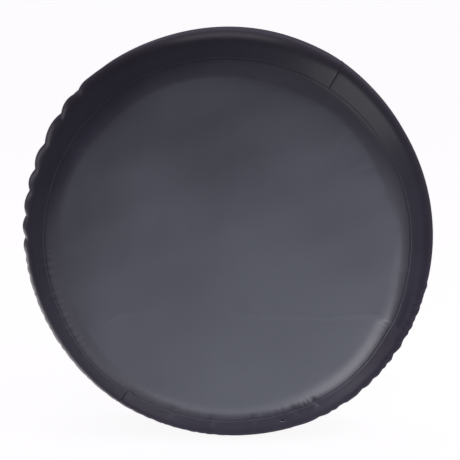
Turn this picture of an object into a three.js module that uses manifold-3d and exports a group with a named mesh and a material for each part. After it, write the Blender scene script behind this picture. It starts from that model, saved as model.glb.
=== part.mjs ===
// Spare tire cover: a round front panel and a two-piece side band of vinyl-coated cloth, drawn round the
// back of the tire by an elastic that runs in the rear hem.
//
// Frame: the origin is the centre of the tire that the cover holds, on the wheel's axis, which is Y. The
// front panel faces -Y, the open back faces +Y, and +Z is up. Millimetres.
//
// Most pieces are rings about Y, so they start as a line in the plane of radius and Y, as seen when the
// cover is cut through its axis. A strip of cloth is that line with a thickness.

import * as THREE from "three";
import { mergeVertices } from "three/addons/utils/BufferGeometryUtils.js";
import Module from "manifold-3d";

const wasm = await Module();
wasm.setup();

// ---- Driving dimensions ----

const OUTER_RADIUS = 350;
const FRONT_Y = -105;
const REAR_Y = 109;
const FACETS = 48; // flats round every ring
const GAP = 0.3; // left between pieces that lie on each other

// Cloth and trims
const CLOTH = 1.2;
const TAPE = 0.5;
const THREAD = 0.7;

// Front panel and front seam
const FLAT_RADIUS = 268; // where the flat face starts to roll over
const SEAM = new THREE.Vector2(300, -95); // the crease between the panel and the band
const SEAM_LEAN = THREE.MathUtils.degToRad(33); // slope of the cloth on both sides of the crease
const FOLD_RADIUS = 1.0; // turn of the band's front edge
const BAND_ALLOWANCE = 7;
const PANEL_ALLOWANCE = 8;
const SEAM_TAPE_START = 3.2;
const SEAM_TAPE_END = 11.6;
const SEAM_THREAD_AT = 1.8;
const SEAM_TAPE_THREAD_AT = 5.4;

// Side band
const FRONT_SLOPE = 24; // straight stretch behind the crease
const TREAD_FRONT_Y = -34;
const TREAD_REAR_Y = 44;
const REAR_FLAT_RADIUS = 290; // where the rear face becomes flat
const CURVE_STEPS = 4;

// Rear hem
const OPENING_RADIUS = 245;
const HEM_FOLD_RADIUS = 3.2;
const CASING_WIDTH = 14;
const HEM_THREAD_RADIUS = 271.5;
const HEM_EDGE_RADIUS = 276;

// Elastic
const ELASTIC_WIDTH = 8.4;
const ELASTIC_THICKNESS = 1.2;
const ELASTIC_RADIUS = 254.5;
const ELASTIC_LAP = THREE.MathUtils.degToRad(7);
const LAP_ANGLE = THREE.MathUtils.degToRad(180);
const TACK_THREAD = 0.5;

// End joins of the band: one plane through the axis cuts the band at the top and at the bottom
const JOIN_ANGLE = THREE.MathUtils.degToRad(33); // from +Z towards +X
const JOIN_ALLOWANCE = 12;
const JOIN_TAPE_HALF = 10;
const JOIN_START = 14; // distance from the crease at which the allowances and tapes begin
const JOIN_END = 14; // distance from the hem's raw edge at which they end
const JOIN_THREAD_OFFSET = 4;

// Drain hole
const DRAIN_ANGLE = THREE.MathUtils.degToRad(163);
const DRAIN_AT = 14; // distance from the crease
const DRAIN_RADIUS = 1.75;

// Care label
const LABEL_WIDTH = 30;
const LABEL_HEIGHT = 46;
const LABEL_CORNER = 2;
const LABEL_Y = 6;
const LABEL_ANGLE = Math.PI * (1 + 1 / FACETS); // the middle of the flat beside the lowest point
const LABEL_STITCH_INSET = 2.5;

// ---- Materials ----

const vinyl = { color: 0x3e3d47, roughness: 0.42, metalness: 0 };
const webbing = { color: 0x1b1b1e, roughness: 0.85, metalness: 0 };
const polyester = { color: 0x222226, roughness: 0.6, metalness: 0 };
const satin = { color: 0xd9d7d0, roughness: 0.7, metalness: 0 };

// ---- Solids ----

function solidOf(geometry) {
  const bare = geometry.index ? geometry.toNonIndexed() : geometry.clone();
  bare.deleteAttribute("normal");
  bare.deleteAttribute("uv");
  const merged = mergeVertices(bare, 1e-4);
  return new wasm.Manifold(
    new wasm.Mesh({
      numProp: 3,
      vertProperties: merged.attributes.position.array,
      triVerts: new Uint32Array(merged.index.array),
    }),
  );
}

function geometryOf(solid) {
  const { vertProperties, triVerts } = solid.getMesh();
  const geometry = new THREE.BufferGeometry();
  geometry.setAttribute("position", new THREE.BufferAttribute(vertProperties, 3));
  geometry.setIndex(new THREE.BufferAttribute(triVerts, 1));
  return geometry;
}

function piece(name, geometry, finish) {
  const mesh = new THREE.Mesh(geometry, new THREE.MeshStandardMaterial(finish));
  mesh.name = name;
  return mesh;
}

// A ring about Y with the given closed outline.
function ring(outline) {
  return new THREE.LatheGeometry([...outline, outline[0].clone()], FACETS);
}

// A box in the frame of the end joins: its z runs along the upper join, its x to the right of it.
function joinBlock(xMin, xMax, zMin, zMax) {
  const depth = 4 * OUTER_RADIUS;
  const block = new THREE.BoxGeometry(xMax - xMin, depth, zMax - zMin);
  block.translate((xMin + xMax) / 2, 0, (zMin + zMax) / 2);
  block.rotateY(JOIN_ANGLE);
  return solidOf(block);
}

// ---- Lines in the plane of radius and Y ----

function offset(line, depth) {
  return line.map((point, i) => {
    const before = line[Math.max(i - 1, 0)];
    const after = line[Math.min(i + 1, line.length - 1)];
    const along = after.clone().sub(before).normalize();
    return new THREE.Vector2(point.x - along.y * depth, point.y + along.x * depth);
  });
}

// The closed outline of a strip of the given thickness with the line in its middle.
function strip(line, thickness) {
  return [...offset(line, -thickness / 2), ...offset(line, thickness / 2).reverse()];
}

function diamond(radius, y, width) {
  const half = width / 2;
  return [
    new THREE.Vector2(radius - half, y),
    new THREE.Vector2(radius, y - half),
    new THREE.Vector2(radius + half, y),
    new THREE.Vector2(radius, y + half),
  ];
}

const slope = new THREE.Vector2(Math.cos(SEAM_LEAN), Math.sin(SEAM_LEAN));
const inward = new THREE.Vector2(-slope.y, slope.x);

// A point near the crease, by its distance back along the band and its depth under the outside.
function nearSeam(distance, depth) {
  return SEAM.clone().addScaledVector(slope, distance).addScaledVector(inward, depth);
}

// The outside of the band, from the crease over the tread to the edge of the rear opening.
const bandPath = new THREE.Path();
const slopeEnd = nearSeam(FRONT_SLOPE, 0);
const shoulderY = SEAM.y + (OUTER_RADIUS - SEAM.x) * Math.tan(SEAM_LEAN);
bandPath.moveTo(SEAM.x, SEAM.y);
bandPath.lineTo(slopeEnd.x, slopeEnd.y);
bandPath.quadraticCurveTo(OUTER_RADIUS, shoulderY, OUTER_RADIUS, TREAD_FRONT_Y);
bandPath.lineTo(OUTER_RADIUS, TREAD_REAR_Y);
bandPath.quadraticCurveTo(OUTER_RADIUS, REAR_Y, REAR_FLAT_RADIUS, REAR_Y);
const bandOutside = bandPath.getPoints(CURVE_STEPS);

const bandMiddle = CLOTH / 2;
const bandAllowanceDepth = bandMiddle + 2 * FOLD_RADIUS;
const panelAllowanceDepth = bandAllowanceDepth + CLOTH + GAP;
const seamTapeDepth = panelAllowanceDepth + CLOTH / 2 + GAP + TAPE / 2;

// ---- Front panel ----

function frontPanel() {
  const middle = FRONT_Y + CLOTH / 2;
  const seamEnd = nearSeam(0, panelAllowanceDepth);
  const rollTo = seamEnd.x - (seamEnd.y - middle) / Math.tan(SEAM_LEAN);
  const roll = new THREE.QuadraticBezierCurve(
    new THREE.Vector2(FLAT_RADIUS, middle),
    new THREE.Vector2(rollTo, middle),
    seamEnd,
  );
  const line = [
    new THREE.Vector2(0, middle),
    new THREE.Vector2(FLAT_RADIUS / 2, middle),
    ...roll.getPoints(CURVE_STEPS),
    nearSeam(PANEL_ALLOWANCE, panelAllowanceDepth),
  ];
  return new THREE.LatheGeometry(strip(line, CLOTH), FACETS);
}

// ---- Side band ----

function bandLine() {
  const foldCentre = nearSeam(0, bandMiddle + FOLD_RADIUS);
  const hemCentre = new THREE.Vector2(
    OPENING_RADIUS + CLOTH / 2 + HEM_FOLD_RADIUS,
    REAR_Y - CLOTH / 2 - HEM_FOLD_RADIUS,
  );
  const casingY = hemCentre.y - HEM_FOLD_RADIUS;
  const sewnY = REAR_Y - CLOTH - GAP - CLOTH / 2;
  const frontTurn = new THREE.EllipseCurve(
    foldCentre.x,
    foldCentre.y,
    FOLD_RADIUS,
    FOLD_RADIUS,
    SEAM_LEAN + Math.PI / 2,
    SEAM_LEAN + (3 * Math.PI) / 2,
  );
  const hemTurn = new THREE.EllipseCurve(
    hemCentre.x,
    hemCentre.y,
    HEM_FOLD_RADIUS,
    HEM_FOLD_RADIUS,
    Math.PI / 2,
    (3 * Math.PI) / 2,
  );
  return [
    nearSeam(BAND_ALLOWANCE, bandAllowanceDepth),
    ...frontTurn.getPoints(4),
    ...offset(bandOutside, bandMiddle).slice(1),
    ...hemTurn.getPoints(4),
    new THREE.Vector2(hemCentre.x + CASING_WIDTH, casingY),
    new THREE.Vector2(HEM_THREAD_RADIUS - 2, sewnY),
    new THREE.Vector2(HEM_EDGE_RADIUS, sewnY),
  ];
}

// The part of the band's outside that the end joins' allowances and tapes lie under.
function joinLine(depth) {
  const start = nearSeam(JOIN_START, 0);
  const end = new THREE.Vector2(HEM_EDGE_RADIUS + JOIN_END, REAR_Y);
  return offset([start, ...bandOutside.slice(1, -1), end], depth);
}

function drainPunch() {
  const direction = new THREE.Vector3(
    inward.x * Math.sin(DRAIN_ANGLE),
    inward.y,
    inward.x * Math.cos(DRAIN_ANGLE),
  );
  const at = nearSeam(DRAIN_AT, CLOTH / 2);
  const punch = new THREE.CylinderGeometry(DRAIN_RADIUS, DRAIN_RADIUS, 8 * CLOTH, 14);
  punch.applyQuaternion(
    new THREE.Quaternion().setFromUnitVectors(new THREE.Vector3(0, 1, 0), direction),
  );
  punch.translate(at.x * Math.sin(DRAIN_ANGLE), at.y, at.x * Math.cos(DRAIN_ANGLE));
  return solidOf(punch);
}

// Half of the band: side is 1 to the right of the joins and -1 to the left.
function halfBand(side) {
  const far = 2 * OUTER_RADIUS;
  const edge = GAP * side;
  const turnedIn = (GAP + JOIN_ALLOWANCE) * side;
  const half = joinBlock(Math.min(edge, far * side), Math.max(edge, far * side), -far, far);
  const ends = joinBlock(Math.min(edge, turnedIn), Math.max(edge, turnedIn), -far, far);
  const cloth = solidOf(ring(strip(bandLine(), CLOTH)));
  const underside = solidOf(ring(strip(joinLine(1.4 * CLOTH), CLOTH)));
  return cloth.intersect(half).add(underside.intersect(ends));
}

// ---- Tapes ----

function seamTape() {
  const onBand = CLOTH + GAP + TAPE / 2;
  const line = [
    nearSeam(SEAM_TAPE_START, seamTapeDepth),
    nearSeam(PANEL_ALLOWANCE + GAP, seamTapeDepth),
    nearSeam(PANEL_ALLOWANCE + 1.6, onBand),
    nearSeam(SEAM_TAPE_END, onBand),
  ];
  return ring(strip(line, TAPE));
}

// The tape over one end join: end is 1 at the top and -1 at the bottom.
function joinTape(end) {
  const far = 2 * OUTER_RADIUS * end;
  const depth = 1.9 * CLOTH + GAP + TAPE / 2;
  const half = joinBlock(-JOIN_TAPE_HALF, JOIN_TAPE_HALF, Math.min(0, far), Math.max(0, far));
  return geometryOf(solidOf(ring(strip(joinLine(depth), TAPE))).intersect(half));
}

// ---- Threads ----

// The topstitched row beside one end join, on the outside.
function joinThread(end) {
  const height = GAP + THREAD / 2;
  const line = offset([nearSeam(2, 0), ...bandOutside.slice(1)], -height);
  const route = new THREE.CatmullRomCurve3(
    line.map((point) => new THREE.Vector3(JOIN_THREAD_OFFSET * end, point.y, point.x * end)),
  );
  const half = THREAD / 2;
  const section = new THREE.Shape([
    new THREE.Vector2(-half, 0),
    new THREE.Vector2(0, -half),
    new THREE.Vector2(half, 0),
    new THREE.Vector2(0, half),
  ]);
  const thread = new THREE.ExtrudeGeometry(section, { steps: 26, extrudePath: route });
  return thread.rotateY(JOIN_ANGLE);
}

function seamThread(distance, under) {
  const at = nearSeam(distance, under + GAP + THREAD / 2);
  return ring(diamond(at.x, at.y, THREAD));
}

// ---- Elastic ----

const elasticY = REAR_Y - CLOTH / 2 - HEM_FOLD_RADIUS;
const elasticPitch = ELASTIC_THICKNESS + GAP;

// One turn and a lap: the ends pass each other by one thickness.
class ElasticLoop extends THREE.Curve {
  getPoint(t) {
    const angle = LAP_ANGLE + (t - 0.5) * (2 * Math.PI + ELASTIC_LAP) + Math.PI;
    const y = elasticY + (t - 0.5) * elasticPitch;
    return new THREE.Vector3(
      ELASTIC_RADIUS * Math.sin(angle),
      y,
      ELASTIC_RADIUS * Math.cos(angle),
    );
  }
}

// A zigzag of thread across the lapped ends.
class BarTack extends THREE.Curve {
  getPoint(t) {
    const angle = LAP_ANGLE + (t - 0.5) * ELASTIC_LAP * 0.55;
    const radius = ELASTIC_RADIUS + 0.36 * ELASTIC_WIDTH * Math.sin(t * 9 * Math.PI);
    const y = elasticY + elasticPitch / 2 + ELASTIC_THICKNESS / 2 + GAP + TACK_THREAD / 2;
    return new THREE.Vector3(radius * Math.sin(angle), y, radius * Math.cos(angle));
  }
}

function ribbon(thickness, width, steps, route) {
  const section = new THREE.Shape([
    new THREE.Vector2(-thickness / 2, -width / 2),
    new THREE.Vector2(thickness / 2, -width / 2),
    new THREE.Vector2(thickness / 2, width / 2),
    new THREE.Vector2(-thickness / 2, width / 2),
  ]);
  return new THREE.ExtrudeGeometry(section, { steps, extrudePath: route });
}

// ---- Care label ----

function roundedRectangle(path, width, height, corner) {
  const x = width / 2;
  const y = height / 2;
  path.moveTo(x, y - corner);
  path.absarc(x - corner, y - corner, corner, 0, Math.PI / 2);
  path.absarc(corner - x, y - corner, corner, Math.PI / 2, Math.PI);
  path.absarc(corner - x, corner - y, corner, Math.PI, 1.5 * Math.PI);
  path.absarc(x - corner, corner - y, corner, 1.5 * Math.PI, 2 * Math.PI);
  return path;
}

function labelPlate() {
  const outline = roundedRectangle(new THREE.Shape(), LABEL_WIDTH, LABEL_HEIGHT, LABEL_CORNER);
  const plate = { depth: TAPE, bevelEnabled: false, curveSegments: 3 };
  return new THREE.ExtrudeGeometry(outline, plate);
}

function labelStitch() {
  const inset = LABEL_STITCH_INSET;
  const outline = roundedRectangle(
    new THREE.Shape(),
    LABEL_WIDTH - inset,
    LABEL_HEIGHT - inset,
    LABEL_CORNER,
  );
  const inner = LABEL_CORNER - THREAD / 2;
  const hole = roundedRectangle(
    new THREE.Path(),
    LABEL_WIDTH - inset - THREAD,
    LABEL_HEIGHT - inset - THREAD,
    inner,
  );
  outline.holes.push(hole);
  const row = { depth: THREAD, bevelEnabled: false, curveSegments: 3 };
  return new THREE.ExtrudeGeometry(outline, row);
}

// ---- Assembly ----

const cover = new THREE.Group();

const panel = piece("front_panel", frontPanel(), vinyl);
const rightCloth = halfBand(1).subtract(drainPunch());
const bandRight = piece("band_right", geometryOf(rightCloth), vinyl);
const bandLeft = piece("band_left", geometryOf(halfBand(-1)), vinyl);
cover.add(panel, bandRight, bandLeft);

const underPanel = panelAllowanceDepth + CLOTH / 2;
const underSeamTape = seamTapeDepth + TAPE / 2;
cover.add(
  piece("front_seam_tape", seamTape(), webbing),
  piece("front_seam_thread", seamThread(SEAM_THREAD_AT, underPanel), polyester),
  piece("front_seam_tape_thread", seamThread(SEAM_TAPE_THREAD_AT, underSeamTape), polyester),
  piece("upper_join_tape", joinTape(1), webbing),
  piece("lower_join_tape", joinTape(-1), webbing),
  piece("upper_join_thread", joinThread(1), polyester),
  piece("lower_join_thread", joinThread(-1), polyester),
);

const hemThreadY = REAR_Y + GAP + THREAD / 2;
const hemBobbinY = REAR_Y - 2 * CLOTH - 2 * GAP - THREAD / 2;
const tack = ribbon(TACK_THREAD, TACK_THREAD, 54, new BarTack());
const elastic = ribbon(ELASTIC_THICKNESS, ELASTIC_WIDTH, FACETS + 2, new ElasticLoop());
cover.add(
  piece("hem_thread", ring(diamond(HEM_THREAD_RADIUS, hemThreadY, THREAD)), polyester),
  piece("hem_bobbin_thread", ring(diamond(HEM_THREAD_RADIUS, hemBobbinY, THREAD)), polyester),
  piece("hem_elastic", elastic, webbing),
  piece("elastic_join_tack", tack, polyester),
);

// The label lies on one flat of the band's inside, so its group is turned to that flat.
const treadFlat = (OUTER_RADIUS - CLOTH) * Math.cos(Math.PI / FACETS);
const label = piece("care_label", labelPlate(), satin);
const labelThread = piece("care_label_thread", labelStitch(), polyester);
label.position.z = treadFlat - GAP - TAPE;
labelThread.position.z = treadFlat - 2 * GAP - TAPE - THREAD;
const labelPlace = new THREE.Group();
labelPlace.rotation.y = LABEL_ANGLE;
labelPlace.position.y = LABEL_Y;
labelPlace.add(label, labelThread);
cover.add(labelPlace);

export default cover;
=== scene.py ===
"""Spare tire cover of vinyl-coated cloth, stretched over a tire and drawn round its back by elastic.

The cover's axis is Y, its front panel faces -Y and +Z is up, in metres. An angle round the cover is
in degrees, from +X towards +Z. Most pieces start as a line in the plane of radius and Y, are spun
about the axis, and are then settled on one gathered surface, so that cloth, tapes and stitches move
together.
"""

from __future__ import annotations

import logging
import math
from dataclasses import dataclass
from enum import Enum
from typing import Any, Sequence

import bmesh
import bpy
import numpy as np
from mathutils import Matrix, Vector


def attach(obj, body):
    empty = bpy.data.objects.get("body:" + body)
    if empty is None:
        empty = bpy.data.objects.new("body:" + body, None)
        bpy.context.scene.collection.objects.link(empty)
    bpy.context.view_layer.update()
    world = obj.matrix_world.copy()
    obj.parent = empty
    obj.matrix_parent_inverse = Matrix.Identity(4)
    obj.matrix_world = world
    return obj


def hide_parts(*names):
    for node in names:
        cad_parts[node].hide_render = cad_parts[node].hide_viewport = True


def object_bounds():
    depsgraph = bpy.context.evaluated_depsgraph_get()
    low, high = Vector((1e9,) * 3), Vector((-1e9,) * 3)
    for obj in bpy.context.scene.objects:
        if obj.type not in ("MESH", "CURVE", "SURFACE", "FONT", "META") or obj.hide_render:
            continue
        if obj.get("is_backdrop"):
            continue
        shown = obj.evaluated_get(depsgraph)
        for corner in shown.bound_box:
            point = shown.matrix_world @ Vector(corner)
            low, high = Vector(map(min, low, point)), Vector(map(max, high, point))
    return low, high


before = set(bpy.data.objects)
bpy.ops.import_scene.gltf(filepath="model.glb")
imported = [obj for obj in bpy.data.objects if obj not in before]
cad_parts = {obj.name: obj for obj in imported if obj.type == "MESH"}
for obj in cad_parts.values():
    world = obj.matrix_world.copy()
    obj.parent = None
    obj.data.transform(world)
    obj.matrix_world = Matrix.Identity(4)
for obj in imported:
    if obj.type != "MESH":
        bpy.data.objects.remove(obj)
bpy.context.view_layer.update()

LOG = logging.getLogger("tire_cover")
BODY = "root"
AXIS = (0.0, -1.0, 0.0)  # a spin about it goes from +X towards +Z
CENTRE = (0.0, 0.0, 0.0)
LOWEST = 270.0  # the angle of the cover's lowest point
MERGED = 1e-5  # points closer than this are one
Line = list[Vector]


class Slot(Enum):
    """The record's material slots."""

    VINYL = "vinyl"
    WEBBING = "webbing"
    THREAD = "thread"
    LABEL = "label"


class Held(Enum):
    """How a sheet is held."""

    STRETCHED = "stretched"
    GATHERED = "gathered"
    LAID = "laid"


class End(Enum):
    """The two joins between the halves of the band."""

    UPPER = 1
    LOWER = -1


class Facing(Enum):
    """The face that tells whether a mesh is inside out."""

    ROUND = "furthest from the axis"
    FRONT = "furthest forward"


# ---- Lines in the plane of radius and Y ----


def straight(start: Vector, end: Vector, steps: int) -> Line:
    """Points along a straight line.

    Args:
        start: The first point.
        end: The last point.
        steps: The number of equal parts.

    Returns:
        The points, both ends included.
    """
    return [start.lerp(end, i / steps) for i in range(steps + 1)]


def curved(start: Vector, corner: Vector, end: Vector, steps: int) -> Line:
    """Points along a curve that leaves and arrives in line with a corner.

    Args:
        start: The first point.
        corner: Where the tangents at the two ends meet.
        end: The last point.
        steps: The number of parts.

    Returns:
        The points, both ends included.
    """
    shares = [i / steps for i in range(steps + 1)]
    return [start.lerp(corner, t).lerp(corner.lerp(end, t), t) for t in shares]


def turned(centre: Vector, radius: float, start: float, steps: int) -> Line:
    """Points along a half turn, as a folded edge makes it.

    Args:
        centre: The middle of the fold.
        radius: Its radius.
        start: The direction of the first point, in radians.
        steps: The number of parts.

    Returns:
        The points, both ends included.
    """
    angles = [start + math.pi * i / steps for i in range(steps + 1)]
    return [centre + radius * Vector((math.cos(a), math.sin(a))) for a in angles]


def joined(*parts: Line) -> Line:
    """One line out of parts that meet end to end.

    Args:
        parts: The parts in order.

    Returns:
        The line, with each meeting point once.
    """
    line = list(parts[0])
    for part in parts[1:]:
        line += part[1:] if (part[0] - line[-1]).length < 1e-6 else part
    return line


def offset(line: Line, depth: float) -> Line:
    """The same line, moved inwards.

    Args:
        line: The points.
        depth: How far, in metres.

    Returns:
        The moved points.
    """
    moved = []
    for i, point in enumerate(line):
        along = (line[min(i + 1, len(line) - 1)] - line[max(i - 1, 0)]).normalized()
        moved.append(point + depth * Vector((-along.y, along.x)))
    return moved


def spoke(turn: float) -> tuple[Vector, Vector]:
    """Two directions at a place round the cover.

    Args:
        turn: Its angle, in radians.

    Returns:
        The direction away from the axis, and the one that leads round to larger angles.
    """
    cos, sin = math.cos(turn), math.sin(turn)
    return Vector((cos, 0, sin)), Vector((-sin, 0, cos))


@dataclass(frozen=True)
class Section:
    """The cover cut through its axis, in metres, before it is gathered."""

    outer_radius: float = 0.350
    front_y: float = -0.105
    rear_y: float = 0.109
    cloth: float = 0.0008
    tape: float = 0.0005
    gap: float = 0.0002
    rim_slope: float = math.radians(31)
    rim_bend: float = 0.017
    seam_radius: float = 0.308
    seam_y: float = -0.095
    lean: float = math.radians(33)
    fold_radius: float = 0.0005
    lip_radius: float = 0.0006
    proud: float = 0.0004  # how far the panel stands over the band at the crease
    band_allowance: float = 0.007
    panel_allowance: float = 0.008
    front_slope: float = 0.024
    tread_front_y: float = -0.034
    tread_rear_y: float = 0.044
    rear_flat_radius: float = 0.290
    opening_radius: float = 0.245
    hem_fold_radius: float = 0.0032
    casing_width: float = 0.014
    hem_stitch_radius: float = 0.2715
    hem_edge_radius: float = 0.276
    hem_tuck: float = 0.002  # the casing meets the flat this far inside the hem's stitches
    casing_slack: float = 0.004
    seam_row: float = 0.0018  # the rows of stitches, measured back from the crease
    tape_row: float = 0.0054
    join_row: float = 0.004  # and aside from a join

    @property
    def seam(self) -> Vector:
        """The crease between the panel and the band."""
        return Vector((self.seam_radius, self.seam_y))

    @property
    def panel_depth(self) -> float:
        """How deep the panel's middle lies under the band's outside at the seam."""
        return 1.5 * self.cloth + 2 * self.fold_radius + self.gap

    @property
    def tape_depth(self) -> float:
        """How deep the seam tape's middle lies under the band's outside."""
        return self.panel_depth + self.cloth / 2 + self.gap + self.tape / 2

    @property
    def hem_centre(self) -> Vector:
        """The middle of the hem's fold."""
        inset = self.cloth / 2 + self.hem_fold_radius
        return Vector((self.opening_radius + inset, self.rear_y - inset))

    def near_seam(self, distance: float, depth: float) -> Vector:
        """A point near the crease.

        Args:
            distance: How far back along the band.
            depth: How far under its outside.

        Returns:
            The point.
        """
        cos, sin = math.cos(self.lean), math.sin(self.lean)
        return self.seam + distance * Vector((cos, sin)) + depth * Vector((-sin, cos))

    def outside(self) -> Line:
        """The band's outside from the crease to the hem's fold."""
        slope_end = self.near_seam(self.front_slope, 0)
        shoulder_y = self.seam_y + (self.outer_radius - self.seam_radius) * math.tan(self.lean)
        shoulder = Vector((self.outer_radius, shoulder_y))
        tread_front = Vector((self.outer_radius, self.tread_front_y))
        tread_rear = Vector((self.outer_radius, self.tread_rear_y))
        rear_corner = Vector((self.outer_radius, self.rear_y))
        rear_flat = Vector((self.rear_flat_radius, self.rear_y))
        return joined(
            straight(self.seam, slope_end, 12),
            curved(slope_end, shoulder, tread_front, 14),
            straight(tread_front, tread_rear, 14),
            curved(tread_rear, rear_corner, rear_flat, 22),
            straight(rear_flat, Vector((self.hem_centre.x, self.rear_y)), 16),
        )

    def band(self) -> Line:
        """The middle of the band's cloth, with its front allowance and its rear hem."""
        fold = self.near_seam(0, self.cloth / 2 + self.fold_radius)
        allowance_depth = self.cloth / 2 + 2 * self.fold_radius
        casing_y = self.hem_centre.y - self.hem_fold_radius
        casing_end = Vector((self.hem_centre.x + self.casing_width, casing_y))
        sewn_y = self.rear_y - 1.5 * self.cloth - self.gap
        sewn = Vector((self.hem_stitch_radius - self.hem_tuck, sewn_y))
        edge = Vector((self.hem_edge_radius, sewn.y))
        front = self.near_seam(self.band_allowance, allowance_depth)
        turn = turned(fold, self.fold_radius, self.lean + math.pi / 2, 8)
        hem = turned(self.hem_centre, self.hem_fold_radius, math.pi / 2, 8)
        outside = offset(self.outside(), self.cloth / 2)
        return joined(
            straight(front, turn[0], 3),
            turn,
            outside[1:],
            hem,
            straight(hem[-1], casing_end, 4),
            curved(casing_end, Vector((casing_end.x + self.casing_slack, casing_y)), sewn, 3),
            straight(sewn, edge, 2),
        )

    def rim(self, end: Vector, y: float, steps: int) -> Line:
        """The rounded rim of the panel, from the flat face to a point near the seam.

        Args:
            end: Its last point.
            y: Where the flat face lies along the axis.
            steps: The number of its parts.

        Returns:
            The line, which starts where the flat face starts to bend.
        """
        corner = Vector((end.x - (end.y - y) / math.tan(self.rim_slope), y))
        return curved(Vector((corner.x - self.rim_bend, y)), corner, end, steps)

    def panel_edge(self) -> Line:
        """The panel's rim, the lip by which it dives beside the band's fold, and its allowance."""
        leg = self.fold_radius + self.cloth + self.gap
        lip = self.lip_radius
        top, bottom = self.cloth / 2 + lip - self.proud, self.panel_depth - lip
        quarters = [math.pi / 2 * k / 4 for k in range(5)]
        down = [
            self.near_seam(lip * (math.sin(q) - 1) - leg, top - lip * math.cos(q)) for q in quarters
        ]
        back = [
            self.near_seam(lip * (1 - math.cos(q)) - leg, bottom + lip * math.sin(q))
            for q in quarters
        ]
        under = self.near_seam(self.panel_allowance, self.panel_depth)
        rim = self.rim(down[0], self.front_y + self.cloth / 2, 11)
        return joined(rim, down, back, straight(back[-1], under, 4))

    def guide(self) -> tuple[np.ndarray, np.ndarray, np.ndarray]:
        """The line that every piece is measured along.

        Returns:
            Its points, its distances from the crease, less than zero on the panel, and the
            directions that point out of the cover there.
        """
        rim = self.rim(self.seam, self.front_y, 24)
        disc = straight(Vector((0, self.front_y)), rim[0], 40)
        line = np.array(joined(disc, rim, self.outside()))
        steps = np.linalg.norm(np.diff(line, axis=0), axis=1)
        along = np.concatenate([[0], np.cumsum(steps)])
        tangent = np.gradient(line, along, axis=0)
        out = np.stack([tangent[:, 1], -tangent[:, 0]], axis=1)
        out /= np.linalg.norm(out, axis=1)[:, None]
        return line, along - along[len(joined(disc, rim)) - 1], out

    def measured(self, radius: np.ndarray, y: np.ndarray) -> tuple[np.ndarray, np.ndarray]:
        """The nearest place on the guide for each point.

        Args:
            radius: The points' distances from the axis.
            y: Their places along it.

        Returns:
            Their distances from the crease along the guide, and the directions out of the cover.
        """
        line, along, out = self.guide()
        keys = np.round(np.stack([radius, y], axis=1), 6)
        places, which = np.unique(keys, axis=0, return_inverse=True)
        start, step = line[:-1], np.diff(line, axis=0)
        size = (step * step).sum(1)
        found = np.empty(len(places))
        for i, place in enumerate(places):
            share = np.clip(((place - start) * step).sum(1) / size, 0, 1)
            gaps = ((place - start - share[:, None] * step) ** 2).sum(1)
            best = int(gaps.argmin())
            found[i] = along[best] + share[best] * (along[best + 1] - along[best])
        normal = np.stack([np.interp(found, along, out[:, k]) for k in (0, 1)], axis=1)
        which = which.ravel()
        return found[which], normal[which]


# ---- The gathered surface ----


def eased(share: np.ndarray) -> np.ndarray:
    """A soft step from 0 to 1.

    Args:
        share: Where each point is, with 0 and 1 at the two ends of the step.

    Returns:
        The step's height at each point.
    """
    held = np.clip(share, 0, 1)
    return held * held * (3 - 2 * held)


def window(value: np.ndarray, rise: float, full: float, fall: float, end: float) -> np.ndarray:
    """A soft window that is 1 between two places.

    Args:
        value: The points.
        rise: Where it starts to rise from 0.
        full: Where it reaches 1.
        fall: Where it starts to fall.
        end: Where it is 0 again.

    Returns:
        The window's height at each point.
    """
    return eased((value - rise) / (full - rise)) * eased((end - value) / (end - fall))


def apart(angle: np.ndarray, other: float) -> np.ndarray:
    """The signed difference between angles.

    Args:
        angle: The angles, in degrees.
        other: The angle that they are compared with.

    Returns:
        The differences, from -180 to 180.
    """
    return (angle - other + 180) % 360 - 180


@dataclass(frozen=True)
class Gathers:
    """A row of folds side by side round the cover, each running from front to back.

    Attributes:
        start: The angle of the first fold.
        end: The angle where the row ends.
        pitch: The width of a fold at the start and at the end of the row, in degrees.
        height: How far a fold stands up, in metres.
        reach: The four places of its window along the guide, in metres.
        seed: The seed of its unevenness.
        crown: A small number gives sharp crests, a large one round crests and sharp valleys.
        run_in: The angle over which the row grows at its start.
        run_out: The angle over which it fades at its end.
        uneven: How much the folds differ in width and height.
        meander: How far a fold wanders sideways, in folds.
    """

    start: float
    end: float
    pitch: tuple[float, float]
    height: float
    reach: tuple[float, float, float, float]
    seed: int
    crown: float = 2.4
    run_in: float = 6.0
    run_out: float = 8.0
    uneven: float = 0.4
    meander: float = 0.35

    def lift(self, angle: np.ndarray, guide: np.ndarray) -> np.ndarray:
        """How far the folds lift the cloth.

        Args:
            angle: The points' angles.
            guide: Their distances from the crease.

        Returns:
            The lift at each point, in metres.
        """
        rng = np.random.default_rng(self.seed)
        span = self.end - self.start
        edges = [0.0]
        while edges[-1] < span + self.pitch[1]:
            share = min(edges[-1] / span, 1)
            pitch = self.pitch[0] + share * (self.pitch[1] - self.pitch[0])
            edges.append(edges[-1] + pitch * (1 + self.uneven * (rng.random() - 0.5)))
        bounds = np.array(edges)
        heights = 1 - self.uneven * rng.random(len(edges))
        sways = rng.uniform(-1, 1, len(edges))
        turn = (angle - self.start) % 360
        mean = sum(self.pitch) / 2
        wander = np.sin(guide * 2 * math.pi / 0.13 + np.interp(turn, bounds, 3 * sways))
        turn_at = turn + self.meander * mean * wander * eased(turn / mean)
        fold = np.clip(np.searchsorted(bounds, turn_at, "right") - 1, 0, len(edges) - 2)
        across = 2 * (turn_at - bounds[fold]) / (bounds[fold + 1] - bounds[fold]) - 1
        ridge = 1 - np.abs(np.clip(across, -1, 1)) ** self.crown
        ends = eased(turn / self.run_in) if self.run_in else (turn >= 0) * 1.0
        ends = ends * eased((span - turn) / self.run_out)
        centred = ridge - self.crown / (self.crown + 1)
        return self.height * heights[fold] * centred * ends * window(guide, *self.reach)


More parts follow.
